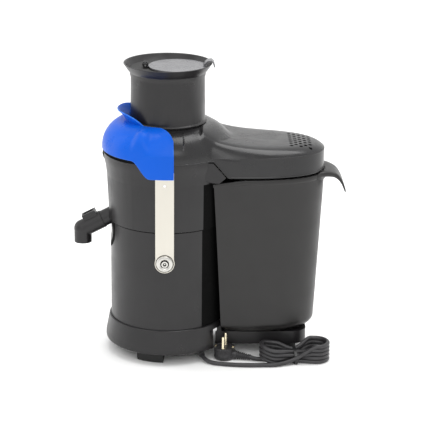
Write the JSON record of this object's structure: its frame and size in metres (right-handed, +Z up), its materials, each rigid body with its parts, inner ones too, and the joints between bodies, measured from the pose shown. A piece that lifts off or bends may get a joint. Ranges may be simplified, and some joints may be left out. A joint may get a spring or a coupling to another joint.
{
  "type": "centrifugal juicer",
  "caption": "Upright centrifugal juicer: feed tube with flap, domed lid with vented pulp hood, blue clamp, juice bowl with swivel spout, pull-out pulp bin and mains cord.",
  "frame": {"origin": "on the floor, under the middle of the machine's length and depth, cord left out", "axes": "+Z up, +X from the spout towards the pulp bin, +Y away from the side with the cord"},
  "size_m": [0.4226, 0.2039, 0.4602],
  "materials": {
    "housing_plastic": "satin charcoal moulded plastic, fine spark-eroded grain",
    "bin_plastic": "satin charcoal moulded plastic, slightly warmer than the body",
    "black_plastic": "matt black moulded plastic",
    "flap_plastic": "satin grey moulded plastic",
    "clamp_blue": "satin blue moulded plastic",
    "rubber_black": "matt black rubber",
    "brushed_steel": "brushed stainless steel",
    "bright_steel": "bright machined steel",
    "cast_aluminium": "as-cast aluminium",
    "motor_laminations": "varnished steel laminations",
    "copper_winding": "enamelled copper wire",
    "rocker_green": "glossy green rocker",
    "cord_pvc": "satin black flexible PVC",
    "plug_metal": "nickel-plated brass"
  },
  "bodies": {
    "machine": {"base": "housing_plastic", "bottom_plate": "black_plastic", "foot_front_near": "rubber_black", "foot_front_far": "rubber_black", "foot_rear_near": "rubber_black", "foot_rear_far": "rubber_black", "plate_screws": "bright_steel", "motor_housing": "housing_plastic", "motor_plate": "brushed_steel", "motor_dampers": "rubber_black", "motor_screws": "bright_steel", "end_bell_lower": "cast_aluminium", "end_bell_upper": "cast_aluminium", "bearing_lower": "bright_steel", "bearing_upper": "bright_steel", "motor_stator": "motor_laminations", "motor_windings": "copper_winding", "shaft_seal": "rubber_black", "juice_bowl": "housing_plastic", "spout_neck": "housing_plastic", "bowl_catch": "black_plastic", "bowl_gasket": "rubber_black", "spout_o_ring": "rubber_black", "lid": "housing_plastic", "feed_tube": "housing_plastic", "feed_chute": "housing_plastic", "flap_bracket": "black_plastic", "flap_pin": "bright_steel", "pivot_bosses": "black_plastic", "pivot_screws": "bright_steel", "pivot_cups": "bright_steel", "safety_switch": "black_plastic", "switch_frame": "black_plastic", "cord_gland": "cord_pvc", "mains_cord": "cord_pvc", "cord_hank": "cord_pvc", "cord_tie": "cord_pvc", "plug_relief": "cord_pvc", "plug_body": "cord_pvc", "plug_pins": "plug_metal"},
    "rotating_filter": {"motor_rotor": "motor_laminations", "motor_shaft": "bright_steel", "cooling_fan": "black_plastic", "drive_coupling": "black_plastic", "filter_basket": "brushed_steel", "grating_disc": "brushed_steel", "basket_nut": "black_plastic"},
    "clamp": {"clamp_bar_near": "brushed_steel", "clamp_bar_far": "brushed_steel", "clamp_yoke": "clamp_blue", "yoke_screws": "bright_steel"},
    "flap": {"feed_flap": "flap_plastic"},
    "spout": {"spout_elbow": "housing_plastic"},
    "bin": {"pulp_bin": "bin_plastic"},
    "rocker": {"switch_rocker": "rocker_green"}
  },
  "joints": [
    {"name": "filter_spin", "type": "hinge", "parent": "machine", "child": "rotating_filter", "pos_m": [-0.066, 0, 0.2], "axis": [0, 0, 1], "continuous": true},
    {"name": "clamp_swing", "type": "hinge", "parent": "machine", "child": "clamp", "pos_m": [-0.0708, 0, 0.1674], "axis": [0, -1, 0], "range_deg": [0, 100]},
    {"name": "flap_lift", "type": "hinge", "parent": "machine", "child": "flap", "pos_m": [-0.1, 0, 0.4525], "axis": [0, -1, 0], "range_deg": [0, 105]},
    {"name": "spout_swivel", "type": "hinge", "parent": "machine", "child": "spout", "pos_m": [-0.166, 0, 0.2085], "axis": [-0.891, 0, -0.454], "range_deg": [-90, 90]},
    {"name": "bin_slide", "type": "slide", "parent": "machine", "child": "bin", "axis": [1, 0, 0], "range_m": [0, 0.26]},
    {"name": "rocker_tilt", "type": "hinge", "parent": "machine", "child": "rocker", "pos_m": [-0.12018, 0.06934, 0.125], "axis": [-0.788, -0.6157, 0], "range_deg": [0, 16]}
  ]
}
